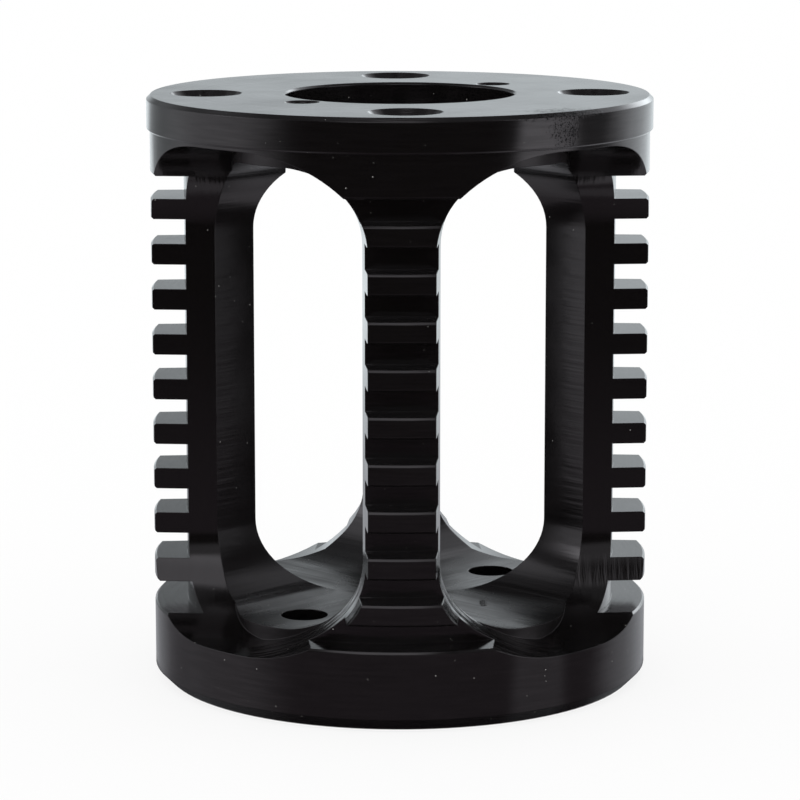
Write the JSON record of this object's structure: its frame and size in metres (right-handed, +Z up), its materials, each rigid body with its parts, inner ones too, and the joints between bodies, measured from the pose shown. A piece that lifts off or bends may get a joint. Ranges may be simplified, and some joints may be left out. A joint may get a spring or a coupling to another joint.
{
  "type": "heat sink",
  "caption": "Round black heat sink with a solid base, a bored and flanged top plate, and finned columns between wide flared windows.",
  "frame": {"origin": "centre of the base, on the face that the part stands on", "axes": "+Z up along the turning axis; the windows face along X and Y; the small holes in the plate and the base lie along X"},
  "size_m": [0.0486, 0.0486, 0.0568],
  "materials": {
    "black_anodised_aluminium": "satin black anodised"
  },
  "bodies": {
    "root": {"heat_sink": "black_anodised_aluminium"}
  },
  "joints": []
}
